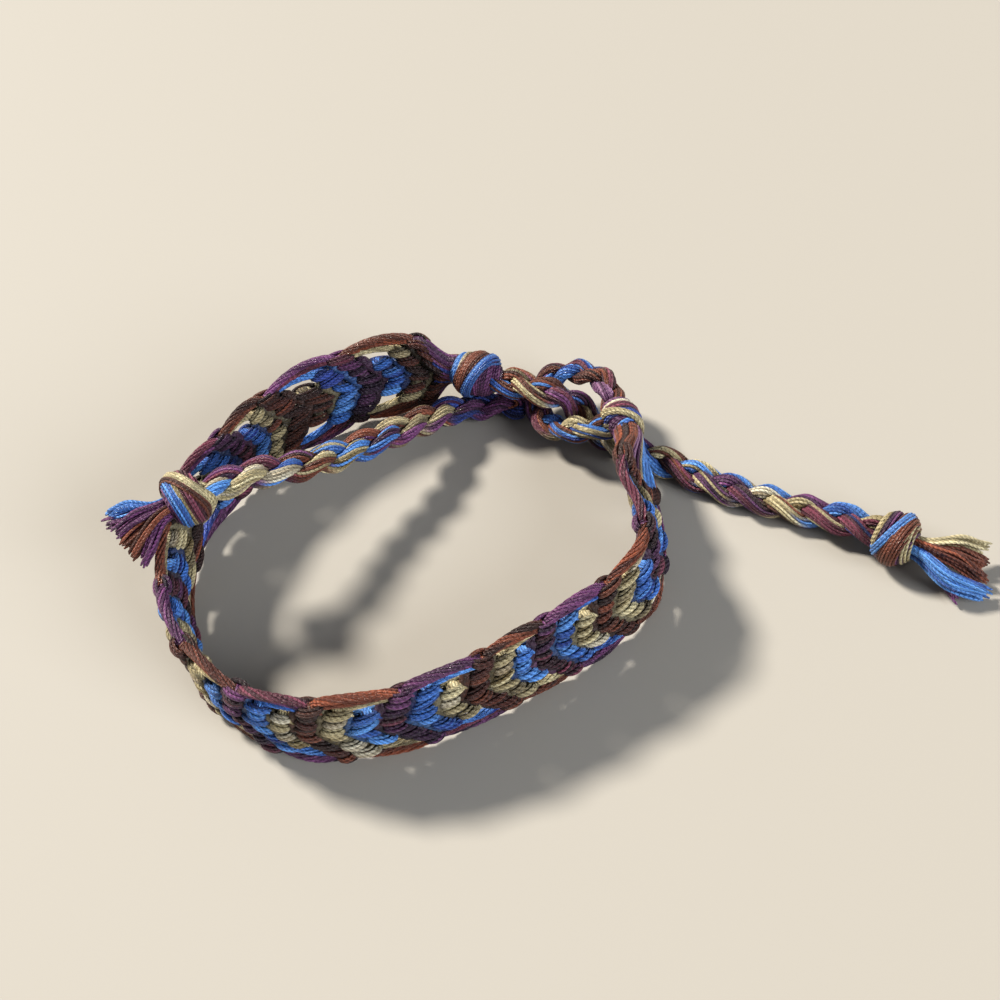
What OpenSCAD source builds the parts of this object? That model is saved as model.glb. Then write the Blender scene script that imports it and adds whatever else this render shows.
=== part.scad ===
// Knotted friendship bracelet with scalloped edges, a braided loop and two braided ties.
// The band stands on one edge and the tie lies threaded through the loop, as laid on a table.
// Millimetres, +Z up, origin on the table at the middle of the opening for the wrist.

/* [Band] */
// Width of the opening loop, between the band's middles
loop_w = 52; // [44:1:64]
// Depth of the opening loop, between the band's middles
loop_d = 45.5; // [38:1:58]
// Width of the band over the float arcs
band_w = 12; // [10.5:0.1:14]
// Width of the knotted middle of the band
core_w = 7.4; // [6:0.1:8.4]
// How far the middle draws in beside an opening
waist = 1.9; // [1:0.1:2.4]
// Depth of the notch between two float arcs
notch = 1.2; // [0.6:0.1:1.6]
// Thickness of the knotted middle
band_t = 2; // [1.4:0.1:2.4]
// Thickness of a float arc
float_t = 1.3; // [0.9:0.1:1.6]
// Length of one float arc
arc_len = 8.6; // [6.5:0.1:11]
// Length over which the band spreads from the start knot
head_len = 5.8; // [4:0.2:8]
// Length over which the band gathers into the end knot
tail_len = 3.6; // [3:0.2:8]
// Width of the band where it enters a knot
head_w = 3.8; // [3:0.1:4.6]
// Thickness of the band where it enters a knot, as a multiple of the middle's
neck = 1.7; // [1:0.1:2]

/* [Braids] */
// Radius of one strand of a braid
strand_r = 0.95; // [0.8:0.01:1.1]
// Sideways swing of a strand in the braid
swing = 0.9; // [0.7:0.02:1]
// Swing of a strand over and under the others
dip = 0.56; // [0.42:0.02:0.64]
// Length in which a strand comes back to its place
plait = 12.6; // [10:0.2:16]
// Size of the loop's braid beside the ties' braids
loop_share = 0.85; // [0.75:0.05:1]
// Gap kept between pieces that touch
gap = 0.16; // [0.12:0.02:0.3]

/* [Knots] */
// Radius of the knot at the band's start
start_knot_r = 2.1; // [1.9:0.1:2.7]
// Length of the knot at the band's start
start_knot_len = 4.4; // [4:0.2:4.8]
// Radius of the knot at the band's end
end_knot_r = 2.7; // [2.3:0.1:3.1]
// Length of the knot at the band's end
end_knot_len = 5; // [4:0.2:6]
// Radius of the knots near the ends of the ties
tail_knot_r = 2.9; // [2.5:0.1:3.4]
// Length of the knots near the ends of the ties
tail_knot_len = 3.8; // [3.4:0.2:6]
// Radius of the flat face where a braid enters a knot
mouth_r = 1.8; // [1.6:0.1:1.9]
// Depth of the furrows between the turns of a knot
furrow = 0.35; // [0.1:0.05:0.5]

/* [Tassels] */
// Length of the thread ends past the right tail knot
right_fringe = 9; // [6:0.5:14]
// Length of the thread ends past the left tail knot
left_fringe = 6; // [5:0.5:12]
// Radius of one lock of thread ends
lock_r = 0.75; // [0.6:0.05:0.9]
// Length of the gathered head of a tassel
tassel_head = 1; // [0.6:0.1:1.6]

/* [Hidden] */
half_w = loop_w / 2;
half_d = loop_d / 2;
// Height at which a piece clears the table
lift = 0.05;
braid_t = 2 * (dip + strand_r);
lie_z = braid_t / 2 + lift;
start_knot_z = braid_t + start_knot_r + 3 * gap;
end_knot_z = braid_t + end_knot_r + 3 * gap;

// Middle of the band seen from above, from its head at the start knot to its end knot.
// Columns: x and y as shares of half the loop's width and depth, lean of the top edge toward
// the inside in degrees, how far the top edge runs ahead for each millimetre of width, and the
// rise to the knot's height, from 0 to 1.
BAND_ROUTE = [
    [1.005, 0.258, 8, 0, 1], [1.0, 0.10, 18, 0, 0.4], [0.98, -0.12, 18, 0.1, 0],
    [0.975, -0.34, 10.5, 0.1, 0], [0.905, -0.57, 3.5, 0.2, 0], [0.715, -0.725, 3, 0.2, 0],
    [0.46, -0.845, 3, 0.2, 0], [0.18, -0.95, 2, 0.2, 0], [-0.12, -1.01, 2, 0.2, 0],
    [-0.42, -0.985, 2, 0.2, 0], [-0.68, -0.84, 3, 0.2, 0], [-0.87, -0.58, 1, 0.2, 0],
    [-0.965, -0.26, 0, 0.1, 0], [-0.965, 0.08, 2, 0, 0], [-0.885, 0.40, 2, 0, 0],
    [-0.72, 0.62, 0, 0, 0], [-0.50, 0.82, -4, 0, 0], [-0.25, 0.95, -7, 0, 0],
    [0.00, 1.0, -8, 0, 0], [0.18, 0.985, -6, 0, 0.4], [0.33, 0.94, 0, 0, 1]];
// The arcs are knotted by hand, so they aren't all alike. Columns: arcs from the start, and
// how far the notch there lies ahead of an even spacing, in millimetres.
ARC_SHIFTS = [
    [0, 0], [1, 0.8], [2, 0.6], [3, -0.7], [4, -2.5], [5, -2.8], [6, -2.6], [7, -3.5],
    [8, -3.7], [9, -3.8], [10, -2.5], [11, 0], [12, -1.6], [13, -0.5], [14, 0]];

// Places of the knots. Columns: x and y shares, heading of the knot's axis in degrees.
START_KNOT = [1.0, 0.375, 98];
END_KNOT = [0.43, 0.865, -30];

// Routes of the braids, laid by hand. Columns: x and y shares, height in band widths above
// the height of a braid that lies on the table.
LOOP_ROUTE = [
    [0.985, 0.49, 0.345], [0.98, 0.60, 0.37], [0.94, 0.70, 0.35], [0.85, 0.79, 0.29],
    [0.765, 0.82, 0.21], [0.70, 0.785, 0.14], [0.67, 0.695, 0.10], [0.68, 0.575, 0.11],
    [0.735, 0.48, 0.17], [0.79, 0.42, 0.25], [0.84, 0.385, 0.28], [0.905, 0.372, 0.30]];
RIGHT_TIE_ROUTE = [
    [0.525, 0.79, 0.37], [0.60, 0.73, 0.40], [0.675, 0.655, 0.41], [0.745, 0.615, 0.38],
    [0.805, 0.595, 0.29], [0.855, 0.565, 0.16], [0.90, 0.50, 0.04], [0.945, 0.425, 0],
    [1.01, 0.335, 0], [1.09, 0.25, 0], [1.19, 0.15, 0], [1.29, 0.03, 0], [1.40, -0.08, 0],
    [1.53, -0.19, 0], [1.66, -0.295, 0.01], [1.765, -0.395, 0.07], [1.86, -0.505, 0.10]];
LEFT_TIE_ROUTE = [
    [0.575, 0.785, 0.01], [0.51, 0.815, 0.01], [0.41, 0.825, 0.02], [0.29, 0.79, 0.11],
    [0.14, 0.675, 0.28], [-0.02, 0.555, 0.44], [-0.22, 0.44, 0.57], [-0.40, 0.355, 0.72],
    [-0.59, 0.265, 0.94], [-0.745, 0.19, 1.0]];

// Points of a smooth curve through rows of numbers
function spline(a, b, c, d, t) =
    (2 * b + (c - a) * t + (2 * a - 5 * b + 4 * c - d) * t * t
    + (3 * b - a - 3 * c + d) * t * t * t) / 2;
function smooth(rows, n = 10) =
    let (k = len(rows) - 1,
         q = concat([2 * rows[0] - rows[1]], rows, [2 * rows[k] - rows[k - 1]]))
    [for (i = [1:k]) for (j = [0:n - 1]) spline(q[i - 1], q[i], q[i + 1], q[i + 2], j / n),
     rows[k]];

// The same curve at given distances along it, or in n equal steps
function place(row) = [row[0], row[1], row[2]];
function run(c) =
    [for (i = 0, s = 0; i < len(c);
        i = i + 1, s = i < len(c) ? s + norm(place(c[i]) - place(c[i - 1])) : s) s];
function sampled(c, places) =
    let (s = run(c),
         cols = [for (k = [0:len(c[0]) - 1]) [for (i = [0:len(c) - 1]) [s[i], c[i][k]]]])
    [for (at_s = places) [for (col = cols) lookup(at_s, col)]];
function length_of(c) = run(c)[len(c) - 1];
function even(c, n) = sampled(c, [for (j = [0:n]) length_of(c) * j / n]);
function reversed(list) = [for (k = [len(list) - 1:-1:0]) list[k]];
function unit(v) = v / norm(v);
function heading(c, i) =
    unit(place(c[min(i + 1, len(c) - 1)]) - place(c[max(i - 1, 0)]));
function quad(a, b, c, d) = [[a, c, b], [a, d, c]];
function ease(t) = let (u = min(max(t, 0), 1)) u * u * (3 - 2 * u);

// Band: a knotted middle with a float arc along each edge, open between arc and middle.
// One arc in six steps. Columns: share of the notch, share of the waist.
ARC_STEPS = [[1, 0], [0.9, 0], [0.35, 0.7], [0, 1], [0, 0.6], [0.4, 0]];
STEPS = len(ARC_STEPS);
band_curve = smooth([for (r = BAND_ROUTE) [r[0] * half_w, r[1] * half_d, 0, r[2], r[3], r[4]]]);
band_len = length_of(band_curve);
arcs = round((band_len - head_len - tail_len) / arc_len);
step_len = (band_len - head_len - tail_len) / (arcs * STEPS);
head_rings = ceil(head_len / step_len);
tail_rings = ceil(tail_len / step_len);
band_rings = head_rings + arcs * STEPS + tail_rings;
function arc_shift(i) = lookup((i - head_rings) / STEPS * (len(ARC_SHIFTS) - 1) / arcs, ARC_SHIFTS);
function band_s(i) =
    i < head_rings ? head_len * i / head_rings
    : i <= band_rings - tail_rings ? head_len + (i - head_rings) * step_len + arc_shift(i)
    : band_len - tail_len * (band_rings - i) / tail_rings;
band_path = sampled(band_curve, [for (i = [0:band_rings]) band_s(i)]);
function arc_step(i) = ARC_STEPS[(i - head_rings + STEPS) % STEPS];
// The first and the last arc are closed, where the band gathers
function waist_at(i) =
    i < head_rings + STEPS || i > band_rings - tail_rings - STEPS ? 0 : arc_step(i)[1];
function is_open(i) = waist_at(i) > 0;
// The band gathers into the knots at its ends: share of the way to its full form, of its full
// width, and of its thickness
function spread(i) = let (s = band_s(i)) ease(min(s / head_len, (band_len - s) / tail_len));
function fullness(i) = head_w / band_w + (1 - head_w / band_w) * spread(i);
function plump(i) = neck + (1 - neck) * spread(i);
// Distances from the middle line: edge, crest and inside of the arc, edge and shoulders of the middle
function reach(i) =
    let (edge = band_w / 2 - notch * arc_step(i)[0], inner = core_w / 2,
         core = inner - waist * waist_at(i))
    fullness(i) * [edge, (edge + inner) / 2, inner, core, core * 0.6, core * 0.2];
// Half the thickness there
HEIGHTS = [float_t * 0.25, float_t / 2, float_t * 0.45, float_t * 0.45, band_t * 0.46, band_t / 2];
function band_point(i, across, out) =
    let (p = band_path[i], t = heading(band_path, i), n = unit([t[1], -t[0], 0]),
         lean = p[3], up = [0, 0, cos(lean)] + n * sin(lean) + t * p[4],
         thick = n * cos(lean) - [0, 0, sin(lean)],
         low = band_w / 2 * cos(lean) + float_t / 2 * abs(sin(lean)),
         high = i < band_rings / 2 ? start_knot_z : end_knot_z,
         mid = low + (high - low) * p[5])
    [p[0], p[1], mid] + up * across + thick * out;
// A ring has 24 points: out and back over the front, then over the back
function band_ring(i) =
    let (w = reach(i), h = HEIGHTS * plump(i))
    concat([for (k = [0:5]) band_point(i, w[k], h[k])],
           [for (k = [5:-1:0]) band_point(i, -w[k], h[k])],
           [for (k = [0:5]) band_point(i, -w[k], -h[k])],
           [for (k = [5:-1:0]) band_point(i, w[k], -h[k])]);
// Where the band is closed, the inside of the arc and the edge of the middle are one point
MERGED = [[3, 2], [8, 9], [15, 14], [20, 21]];
function at(i, k) =
    let (m = is_open(i) ? [] : [for (pair = MERGED) if (pair[0] == k) pair[1]])
    24 * i + (len(m) > 0 ? m[0] : k);
function strip(i, a, b) = quad(at(i, a), at(i, b), at(i + 1, b), at(i + 1, a));
// Columns of the ring before an opening, front and back
BEFORE_GAP = [2, 8, 14, 20];
function band_sides(i) =
    [for (a = [0:23]) if (len(search(a, BEFORE_GAP)) == 0) each strip(i, a, (a + 1) % 24)];
function band_slits(i) = !(is_open(i) || is_open(i + 1)) ? [] :
    concat(strip(i, 2, 21), strip(i, 20, 3), strip(i, 8, 15), strip(i, 14, 9));
function band_cap(i) = [for (k = [0:23]) if (at(i, k) == 24 * i + k) 24 * i + k];
module band() {
    color([0.42, 0.34, 0.52])
    polyhedron(
        points = [for (i = [0:band_rings]) each band_ring(i)],
        faces = concat(
            [for (i = [0:band_rings - 1]) each concat(band_sides(i), band_slits(i))],
            [band_cap(0), reversed(band_cap(band_rings))]),
        convexity = 12);
}

// Knots: a barrel between two flat faces, with the strings wound round it in slanting turns.
// Columns of the profile: share of the length, share of the way from mouth to full radius.
BARREL = [[0, 0], [0.08, 0.55], [0.22, 0.85], [0.38, 1], [0.62, 1], [0.78, 0.85], [0.92, 0.55], [1, 0]];
KNOT_SIDES = 18;
TURNS = 3;
module knot(radius, long, mouth) {
    points = [for (b = BARREL) for (j = [0:KNOT_SIDES - 1])
        let (a = 360 * j / KNOT_SIDES,
             ridge = furrow * b[1] * (0.5 - 0.5 * cos(TURNS * a + 200 * b[0])),
             r = mouth + (radius - mouth) * b[1] - ridge)
        [long * (b[0] - 0.5), r * cos(a), r * sin(a)]];
    last = len(BARREL) - 1;
    polyhedron(
        points = points,
        faces = concat(
            [for (i = [0:last - 1]) for (j = [0:KNOT_SIDES - 1])
                each quad(KNOT_SIDES * i + j, KNOT_SIDES * i + (j + 1) % KNOT_SIDES,
                    KNOT_SIDES * (i + 1) + (j + 1) % KNOT_SIDES, KNOT_SIDES * (i + 1) + j)],
            [[for (j = [0:KNOT_SIDES - 1]) j]],
            [[for (j = [KNOT_SIDES - 1:-1:0]) KNOT_SIDES * last + j]]),
        convexity = 4);
}
module start_knot() {
    color([0.44, 0.24, 0.30])
    translate([START_KNOT[0] * half_w, START_KNOT[1] * half_d, start_knot_z])
    rotate([0, 0, START_KNOT[2]])
    knot(start_knot_r, start_knot_len, mouth_r);
}
module end_knot() {
    color([0.35, 0.45, 0.72])
    translate([END_KNOT[0] * half_w, END_KNOT[1] * half_d, end_knot_z])
    rotate([0, 0, END_KNOT[2]])
    knot(end_knot_r, end_knot_len, mouth_r);
}

// Braids: three strands that pass over and under each other. Each is round where it is free
// and flat where it meets its neighbours' midplane, less half the gap.
STRAND_SIDES = 8;
RINGS_PER_PLAIT = 12;
function route(rows) =
    smooth([for (r = rows) [r[0] * half_w, r[1] * half_d, lie_z + r[2] * band_w]]);
function braid_rings(rows, size) = round(length_of(route(rows)) / size / plait * RINGS_PER_PLAIT);
function strand_at(s, k) =
    let (a = 360 * (s / plait + k / 3)) [swing * sin(a), dip * sin(2 * a)];
// Free radius of strand k toward d at one place, and the least of it within half a ring's step
function free_radius(s, k, d, space) =
    let (q = strand_at(s, k), others = [for (m = [1:2]) strand_at(s, k + m) - q])
    min([strand_r, for (o = others) if (d * o > 0) (o * o - space * norm(o)) / 2 / (d * o)]);
function section(s, k, space) =
    let (slack = plait / RINGS_PER_PLAIT / 2)
    [for (j = [0:STRAND_SIDES - 1])
        let (d = [cos(360 * j / STRAND_SIDES), sin(360 * j / STRAND_SIDES)])
        strand_at(s, k) + d * min([for (e = [-slack, 0, slack]) free_radius(s + e, k, d, space)])];
module strand(rows, k, size = 1, space = gap) {
    rings = braid_rings(rows, size);
    path = even(route(rows), rings);
    long = length_of(route(rows));
    points = [for (i = [0:rings])
        let (t = heading(path, i), side = unit([t[1], -t[0], 0]), up = cross(side, t))
        for (q = section(long / size * i / rings, k, space) * size) path[i] - side * q[0] + up * q[1]];
    polyhedron(
        points = points,
        faces = concat(
            [for (i = [0:rings - 1]) for (j = [0:STRAND_SIDES - 1])
                each quad(STRAND_SIDES * i + j, STRAND_SIDES * i + (j + 1) % STRAND_SIDES,
                    STRAND_SIDES * (i + 1) + (j + 1) % STRAND_SIDES, STRAND_SIDES * (i + 1) + j)],
            [[for (j = [0:STRAND_SIDES - 1]) j]],
            [[for (j = [STRAND_SIDES - 1:-1:0]) STRAND_SIDES * rings + j]]),
        convexity = 6);
}
module loop_strand(k) {
    color([[0.40, 0.24, 0.38], [0.36, 0.50, 0.82], [0.52, 0.28, 0.20]][k])
    strand(LOOP_ROUTE, k, loop_share, 2 * gap);
}
module right_tie_strand(k) {
    color([[0.70, 0.60, 0.36], [0.36, 0.50, 0.82], [0.42, 0.24, 0.26]][k])
    strand(RIGHT_TIE_ROUTE, k);
}
module left_tie_strand(k) {
    color([[0.36, 0.50, 0.82], [0.66, 0.60, 0.42], [0.44, 0.26, 0.34]][k])
    strand(LEFT_TIE_ROUTE, k);
}

// Tail knots and tassels, in line with the end of their tie
function tie_end(rows) = let (c = route(rows)) c[len(c) - 1];
function tie_angle(rows) =
    let (c = route(rows), t = heading(c, len(c) - 1)) atan2(t[1], t[0]);
module past_tie(rows, z) {
    p = tie_end(rows);
    translate([p[0], p[1], z])
    rotate([0, 0, tie_angle(rows)])
    children();
}
RIGHT_KNOT_Z = tail_knot_r + lift;
// The left tail knot lies inside the band, and its tassel across the top edge
LEFT_KNOT_Z = band_w + mouth_r + 2 * gap;
module right_tail_knot() {
    color([0.50, 0.36, 0.30])
    past_tie(RIGHT_TIE_ROUTE, RIGHT_KNOT_Z)
    translate([2 * gap + tail_knot_len / 2, 0, 0])
    knot(tail_knot_r, tail_knot_len, mouth_r);
}
module left_tail_knot() {
    color([0.46, 0.40, 0.44])
    past_tie(LEFT_TIE_ROUTE, LEFT_KNOT_Z)
    translate([2 * gap + tail_knot_len / 2, 0, 0])
    knot(tail_knot_r, tail_knot_len, mouth_r);
}

// Locks of thread ends. Columns: place in the head, sideways and up, in lock radii, then where
// the lock ends, along, sideways and up, as shares of the fringe.
RIGHT_LOCKS = [
    [0.9, 0.8, 0.66, 0.45, -0.10], [0.9, -0.2, 0.72, 0.30, -0.18], [0.0, 0.9, 0.80, 0.12, -0.20],
    [-0.9, 0.4, 0.86, -0.03, -0.21], [-0.9, -0.7, 0.78, -0.12, -0.22], [0.1, -0.7, 0.62, -0.22, -0.23]];
LEFT_LOCKS = [
    [-1.0, 0.6, 1.0, -0.62, 0.02], [-0.5, -0.4, 0.98, -0.42, -0.06], [-0.2, 0.9, 0.97, -0.20, -0.12],
    [0.4, -0.5, 0.94, 0.02, -0.22], [0.9, 0.6, 0.90, 0.24, -0.30], [1.0, -0.3, 0.80, 0.44, -0.38]];
LOCK_SIDES = 7;
module lock_end(p, r) {
    translate(p) sphere(r = r, $fn = LOCK_SIDES);
}
module lock(row, fringe) {
    start = [tassel_head, row[0] * lock_r, row[1] * lock_r];
    tip = [row[2] * fringe, row[3] * fringe, row[4] * fringe];
    middle = (start + tip) / 2 + [0, (row[3] * fringe - start[1]) * 0.06, fringe * 0.05];
    hull() {
        translate([0, row[0] * lock_r * 0.8, row[1] * lock_r * 0.8]) rotate([0, 90, 0])
        cylinder(r = lock_r * 0.8, h = 0.1, $fn = LOCK_SIDES);
        lock_end(start, lock_r * 0.9);
    }
    hull() {
        lock_end(start, lock_r * 0.9);
        lock_end(middle, lock_r);
    }
    hull() {
        lock_end(middle, lock_r);
        lock_end(tip, lock_r * 0.95);
    }
}
module tassel(locks, fringe) {
    translate([tail_knot_len + 3 * gap, 0, 0]) {
        rotate([0, 90, 0]) cylinder(r = lock_r * 1.6, h = tassel_head, $fn = LOCK_SIDES);
        for (row = locks) lock(row, fringe);
    }
}
module right_tassel() {
    color([0.50, 0.45, 0.52])
    past_tie(RIGHT_TIE_ROUTE, RIGHT_KNOT_Z) tassel(RIGHT_LOCKS, right_fringe);
}
module left_tassel() {
    color([0.44, 0.34, 0.46])
    past_tie(LEFT_TIE_ROUTE, LEFT_KNOT_Z) tassel(LEFT_LOCKS, left_fringe);
}

band();
start_knot();
end_knot();
loop_strand(0);  // loop_strand_1
loop_strand(1);  // loop_strand_2
loop_strand(2);  // loop_strand_3
right_tie_strand(0);  // right_tie_strand_1
right_tie_strand(1);  // right_tie_strand_2
right_tie_strand(2);  // right_tie_strand_3
left_tie_strand(0);  // left_tie_strand_1
left_tie_strand(1);  // left_tie_strand_2
left_tie_strand(2);  // left_tie_strand_3
right_tail_knot();
left_tail_knot();
right_tassel();
left_tassel();
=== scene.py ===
import math

import bpy
import numpy as np
from mathutils import Matrix, Vector


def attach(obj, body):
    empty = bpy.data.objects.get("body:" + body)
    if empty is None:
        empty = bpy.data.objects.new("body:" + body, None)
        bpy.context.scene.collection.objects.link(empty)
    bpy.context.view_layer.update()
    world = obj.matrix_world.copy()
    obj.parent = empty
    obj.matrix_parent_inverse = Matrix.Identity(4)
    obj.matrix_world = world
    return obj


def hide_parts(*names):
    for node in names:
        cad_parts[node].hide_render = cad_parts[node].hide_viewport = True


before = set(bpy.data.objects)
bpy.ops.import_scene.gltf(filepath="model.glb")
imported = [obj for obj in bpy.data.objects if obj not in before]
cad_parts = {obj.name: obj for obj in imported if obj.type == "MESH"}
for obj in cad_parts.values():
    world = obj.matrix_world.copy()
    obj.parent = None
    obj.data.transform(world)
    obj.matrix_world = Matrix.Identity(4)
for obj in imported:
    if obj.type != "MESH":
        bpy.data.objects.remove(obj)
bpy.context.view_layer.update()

# Camera: it looks down over the front of the band, a little from the right, as the bracelet was
# photographed where it lay. The three directions are the camera's right, up and back.
CAMERA_AT = (0.0107, -0.0865, 0.1166)
CAMERA_RIGHT = (0.97664, -0.16869, -0.13307)
CAMERA_UP = (0.21486, 0.76678, 0.60487)
CAMERA_BACK = (0.0, -0.61935, 0.78512)
LENS_MM = 46.8
SENSOR_MM = 36
NEAREST = 0.001
camera = bpy.data.objects.new("camera", bpy.data.cameras.new("camera"))
camera.data.lens = LENS_MM
camera.data.sensor_width = SENSOR_MM
camera.data.clip_start = NEAREST
turn = Matrix((CAMERA_RIGHT, CAMERA_UP, CAMERA_BACK)).transposed().to_4x4()
camera.matrix_world = Matrix.Translation(CAMERA_AT) @ turn
bpy.context.scene.collection.objects.link(camera)
bpy.context.scene.camera = camera

# The table and the light: a plain pale surface under one warm light from behind and to the left,
# a wide weak cool one from the front, and a soft pale room all round.
TABLE_SIZE = 12
TABLE_TONE = (0.405, 0.378, 0.336, 1)
TABLE_ROUGHNESS = 0.75
# The table lies this far under the bracelet, in metres, so that no thread is level with it
TABLE_DROP = 0.0001
ROOM_TONE = (0.92, 0.94, 1.0, 1.0)
ROOM_LIGHT = 0.20
# Each light: its name, where it comes from, how wide it is in degrees, its strength and tone
LAMPS = [
    ("back_light", (-0.68, 0.72, 0.92), 10, 5.0, (1.0, 0.95, 0.86)),
    ("front_light", (0.75, -0.80, 0.55), 32, 2.5, (0.90, 0.95, 1.0))]
bpy.ops.mesh.primitive_plane_add(size=TABLE_SIZE, location=(0, 0, -TABLE_DROP))
floor = bpy.context.object
floor.name = "floor"
table = bpy.data.materials.new("table")
table.use_nodes = True
table.node_tree.nodes["Principled BSDF"].inputs["Base Color"].default_value = TABLE_TONE
table.node_tree.nodes["Principled BSDF"].inputs["Roughness"].default_value = TABLE_ROUGHNESS
floor.data.materials.append(table)
world = bpy.data.worlds.new("room")
bpy.context.scene.world = world
world.use_nodes = True
world.node_tree.nodes["Background"].inputs["Color"].default_value = ROOM_TONE
world.node_tree.nodes["Background"].inputs["Strength"].default_value = ROOM_LIGHT
for name, place, width, strength, tone in LAMPS:
    lamp = bpy.data.objects.new(name, bpy.data.lights.new(name, "SUN"))
    lamp.data.angle = math.radians(width)
    lamp.data.energy = strength
    lamp.data.color = tone
    lamp.location = place
    lamp.rotation_euler = (-Vector(place)).to_track_quat("-Z", "Y").to_euler()
    bpy.context.scene.collection.objects.link(lamp)
bpy.context.scene.view_settings.view_transform = "Standard"
bpy.context.scene.view_settings.look = "Medium High Contrast"

# The braids: three strands of several cotton threads each, plaited flat. One braid is folded
# into the loop at the band's start, and two braids are the ties at its end. The routes and
# sizes are those of the solids, in millimetres and in shares of half the opening.
MM = 0.001
HALF_W = 26.0
HALF_D = 22.75
BAND_W = 12.0
# One strand's radius, how far it swings sideways and dips as it crosses the others, and the
# length of one whole turn of the plait
STRAND_R = 0.95
SWING = 0.9
DIP = 0.56
PLAIT = 12.6
# The loop's braid is this much as thick as a tie's
LOOP_SHARE = 0.85
# What is left open between two solids that lie against each other
GAP = 0.16
LIE_Z = DIP + STRAND_R + 0.05
LOOP_ROUTE = [
    (0.985, 0.49, 0.345), (0.98, 0.60, 0.37), (0.94, 0.70, 0.35), (0.85, 0.79, 0.29),
    (0.765, 0.82, 0.21), (0.70, 0.785, 0.14), (0.67, 0.695, 0.10), (0.68, 0.575, 0.11),
    (0.735, 0.48, 0.17), (0.79, 0.42, 0.25), (0.84, 0.385, 0.28), (0.905, 0.372, 0.30)]
RIGHT_TIE_ROUTE = [
    (0.525, 0.79, 0.37), (0.60, 0.73, 0.40), (0.675, 0.655, 0.41), (0.745, 0.615, 0.38),
    (0.805, 0.595, 0.29), (0.855, 0.565, 0.16), (0.90, 0.50, 0.04), (0.945, 0.425, 0),
    (1.01, 0.335, 0), (1.09, 0.25, 0), (1.19, 0.15, 0), (1.29, 0.03, 0), (1.40, -0.08, 0),
    (1.53, -0.19, 0), (1.66, -0.295, 0.01), (1.765, -0.395, 0.07), (1.86, -0.505, 0.10)]
LEFT_TIE_ROUTE = [
    (0.575, 0.785, 0.01), (0.51, 0.815, 0.01), (0.41, 0.825, 0.02), (0.29, 0.79, 0.11),
    (0.14, 0.675, 0.28), (-0.02, 0.555, 0.44), (-0.22, 0.44, 0.57), (-0.40, 0.355, 0.72),
    (-0.59, 0.265, 0.94), (-0.745, 0.19, 1.0)]
chance = np.random.default_rng(11)


def srgb(r, g, b):
    """A colour given as it looks on a screen, from 0 to 255, in the numbers that light adds in."""
    c = np.array([r, g, b]) / 255
    return np.where(c <= 0.04045, c / 12.92, ((c + 0.055) / 1.055) ** 2.4)


# The dyes of the variegated thread, from the brightest to the darkest of each colour
DYES = {
    "blue": (srgb(112, 176, 252), srgb(18, 52, 142)),
    "royal": (srgb(84, 146, 236), srgb(14, 42, 124)),
    "navy": (srgb(66, 92, 182), srgb(16, 22, 72)),
    "plum": (srgb(140, 78, 134), srgb(48, 16, 50)),
    "mauve": (srgb(186, 140, 176), srgb(104, 56, 104)),
    "wine": (srgb(150, 74, 98), srgb(48, 14, 28)),
    "brown": (srgb(152, 84, 58), srgb(50, 20, 16)),
    "rust": (srgb(168, 90, 58), srgb(82, 36, 26)),
    "straw": (srgb(238, 224, 180), srgb(138, 118, 76)),
    "olive": (srgb(208, 192, 150), srgb(94, 78, 56)),
    "cream": (srgb(240, 231, 206), srgb(166, 148, 118)),
}


# A dye runs into the next over DYE_BLEND millimetres, at a place that drifts from thread to
# thread. How deep it is differs between threads, and in a slow wave along each.
DYE_BLEND = 1.6
DYE_DRIFT = 0.6
DEPTH = 0.5
DEPTH_SPREAD = 0.28
DEPTH_WAVE = 0.18


def dyed(stops, along, thread):
    """Colours at distances along a thread: stops are (millimetres, dye) where each dye begins."""
    shift = chance.normal(0, DYE_DRIFT)
    places = np.array([s[0] for s in stops], float) + shift
    wave = DEPTH_WAVE * np.sin(along * 1.3 + thread * 2.1)
    depth = np.clip(chance.normal(DEPTH, DEPTH_SPREAD) + wave, 0, 1)
    out = np.zeros((len(along), 3))
    for i, (_, name) in enumerate(stops):
        bright, dark = DYES[name]
        after = 1.0 if i == 0 else np.clip((along - places[i]) / DYE_BLEND + 0.5, 0, 1)
        colour = bright + (dark - bright) * depth[:, None]
        share = np.broadcast_to(after, along.shape)[:, None]
        out = out * (1 - share) + colour * share
    return out


# How unlike short threads of one dye are, in the dye's depth and in its tint
SHORT_DEPTH_SPREAD = 0.26
SHORT_TINT_SPREAD = 0.05


def plain(dye, n, deep=0.4, dark=1.0):
    """Colours of one short thread of one dye, a little different from its neighbours', times dark,
    which paints shade on it when below 1.
    """
    bright, deepest = DYES[dye]
    share = np.clip(chance.normal(deep, SHORT_DEPTH_SPREAD), 0, 1)
    tint = (bright + (deepest - bright) * share) * chance.normal(1, SHORT_TINT_SPREAD)
    return np.tile(tint * dark, (n, 1))


def unit(v):
    """Vectors made one long."""
    return v / np.maximum(np.linalg.norm(v, axis=-1, keepdims=True), 1e-12)


def smooth(rows, n=10):
    """A smooth curve through rows of numbers, with n points from each row to the next."""
    q = np.array(rows, float)
    q = np.vstack([2 * q[0] - q[1], q, 2 * q[-1] - q[-2]])
    t = (np.arange(n) / n)[:, None]
    out = []
    for a, b, c, d in zip(q, q[1:], q[2:], q[3:]):
        out.append((2 * b + (c - a) * t + (2 * a - 5 * b + 4 * c - d) * t**2
                    + (3 * b - a - 3 * c + d) * t**3) / 2)
    return np.vstack(out + [q[-2:-1]])


def measured(curve):
    """Distances along a curve whose first three columns are its place."""
    steps = np.linalg.norm(np.diff(curve[:, :3], axis=0), axis=1)
    return np.concatenate([[0], np.cumsum(steps)])


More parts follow.
